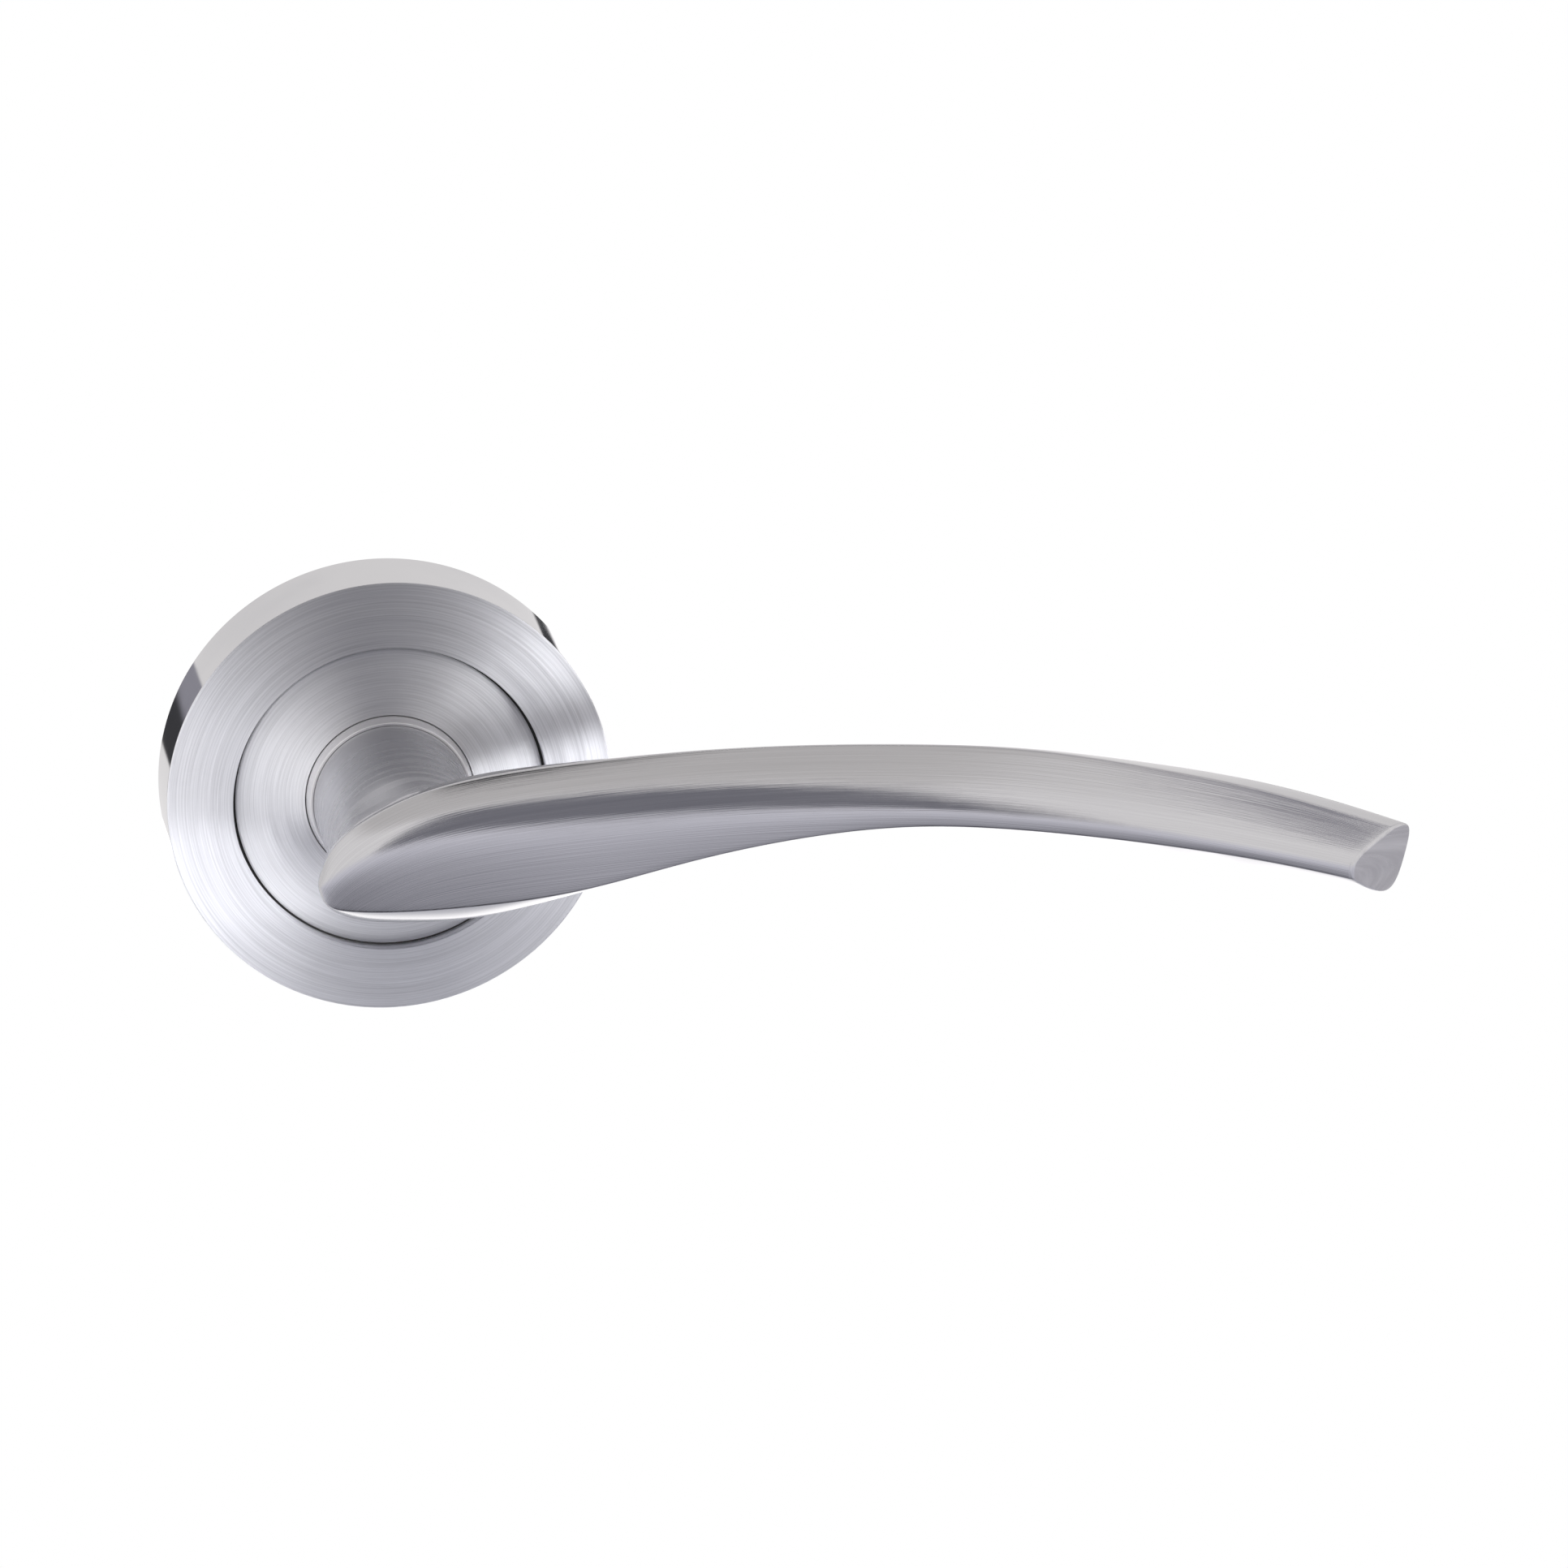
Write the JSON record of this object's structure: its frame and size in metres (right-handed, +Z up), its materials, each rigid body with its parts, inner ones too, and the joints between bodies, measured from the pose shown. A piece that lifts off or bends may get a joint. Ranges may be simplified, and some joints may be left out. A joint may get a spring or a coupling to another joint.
{
  "type": "door lever handle",
  "caption": "Door lever handle on a round sprung rose: arched tapering arm on a round neck, collar ring, inner disc, spring cassette and square spindle.",
  "frame": {"origin": "centre of the rose's mounting face, on the spindle axis", "axes": "+X along the lever, +Y into the door along the spindle, +Z up"},
  "size_m": [0.1463, 0.0892, 0.0534],
  "materials": {
    "satin_chrome": "satin chrome plate, brushed round the rose and along the arm, with polished walls",
    "zinc_casting": "as-cast zinc alloy, dull grey",
    "zinc_plated_steel": "bright zinc plate",
    "spring_steel": "oiled spring steel",
    "black_steel": "blackened steel",
    "natural_nylon": "natural nylon",
    "black_nylon": "moulded glass-filled nylon"
  },
  "bodies": {
    "rose": {"rose_cover": "satin_chrome", "rose_disc": "satin_chrome", "neck_collar": "satin_chrome", "mounting_plate": "zinc_casting", "snap_ring": "spring_steel", "fixing_posts": "zinc_plated_steel", "cassette_body": "black_nylon", "cassette_lid": "zinc_plated_steel", "cassette_screws": "zinc_plated_steel", "stop_pins": "spring_steel", "rear_bush": "natural_nylon", "front_bush": "natural_nylon", "return_spring_right": "spring_steel", "return_spring_left": "spring_steel"},
    "lever": {"lever_handle": "satin_chrome", "grub_screw": "black_steel", "spindle": "zinc_plated_steel", "drive_rotor": "zinc_casting", "thrust_washer": "natural_nylon", "retaining_washer": "zinc_plated_steel", "circlip": "spring_steel"}
  },
  "joints": [
    {"name": "lever_turn", "type": "hinge", "parent": "rose", "child": "lever", "pos_m": [0, 0, 0], "axis": [0, 1, 0], "range_deg": [0, 45], "stiffness_Nm_per_rad": 0.8, "springref_deg": -34.38, "deforming": ["return_spring_right", "return_spring_left"]}
  ]
}
